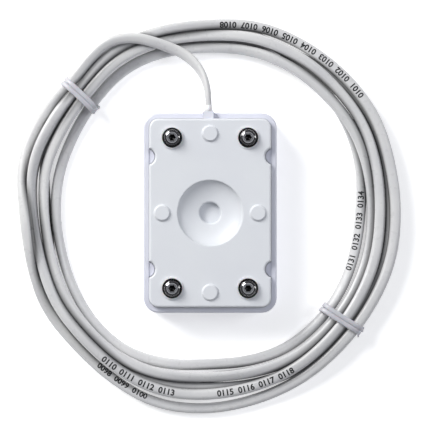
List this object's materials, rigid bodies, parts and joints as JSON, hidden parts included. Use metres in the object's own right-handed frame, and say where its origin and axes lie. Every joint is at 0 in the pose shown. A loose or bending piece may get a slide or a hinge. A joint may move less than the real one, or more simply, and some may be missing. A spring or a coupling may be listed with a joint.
{
  "type": "surface water leak sensor",
  "caption": "Flat rectangular water-leak sensor lying on its back, metal probes up, with a blind centre recess and a thin cable in a tied round coil.",
  "frame": {"origin": "centre of the case's flat back face, on the surface that it lies on", "axes": "+Z out of the sensing face, +Y along the case's long side towards the cable exit, +X to the right seen from above"},
  "size_m": [0.1472, 0.1529, 0.0201],
  "materials": {
    "case_white": "semi-gloss moulded ABS, white with a cool cast",
    "face_white": "satin moulded ABS, cool white",
    "probe_steel": "polished stainless steel",
    "seal_white": "white nylon",
    "washer_steel": "plain spring steel",
    "nut_steel": "plain stainless steel",
    "gasket_rubber": "black elastomer",
    "board_green": "glass-fibre board with green solder mask",
    "resistor_body": "tan coated film resistor",
    "solder": "tin solder",
    "ferrule": "tinned crimp ferrule",
    "grommet_white": "soft white vinyl",
    "cable_jacket": "smooth off-white vinyl jacket",
    "tie_white": "white plastic tie",
    "core_red": "red vinyl insulation",
    "core_black": "black vinyl insulation",
    "copper": "bare stranded copper"
  },
  "bodies": {
    "root": {"black_core": "core_black", "cable_coil": "cable_jacket", "cable_grommet": "grommet_white", "cable_lead": "cable_jacket", "cable_stub": "cable_jacket", "circuit_board": "board_green", "end_of_line_resistor": "resistor_body", "free_black_core": "core_black", "free_red_core": "core_red", "hex_nut_lower_left": "nut_steel", "hex_nut_lower_right": "nut_steel", "hex_nut_upper_left": "nut_steel", "hex_nut_upper_right": "nut_steel", "housing_shell": "case_white", "lock_washer_lower_left": "washer_steel", "lock_washer_lower_right": "washer_steel", "lock_washer_upper_left": "washer_steel", "lock_washer_upper_right": "washer_steel", "lower_cable_tie": "tie_white", "probe_screw_lower_left": "probe_steel", "probe_screw_lower_right": "probe_steel", "probe_screw_upper_left": "probe_steel", "probe_screw_upper_right": "probe_steel", "red_core": "core_red", "sealing_washer_lower_left": "seal_white", "sealing_washer_lower_right": "seal_white", "sealing_washer_upper_left": "seal_white", "sealing_washer_upper_right": "seal_white", "seam_gasket": "gasket_rubber", "sensing_plate": "face_white", "solder_joints": "solder", "strain_relief_ferrule": "ferrule", "stripped_ends": "copper", "upper_cable_tie": "tie_white"}
  },
  "joints": []
}
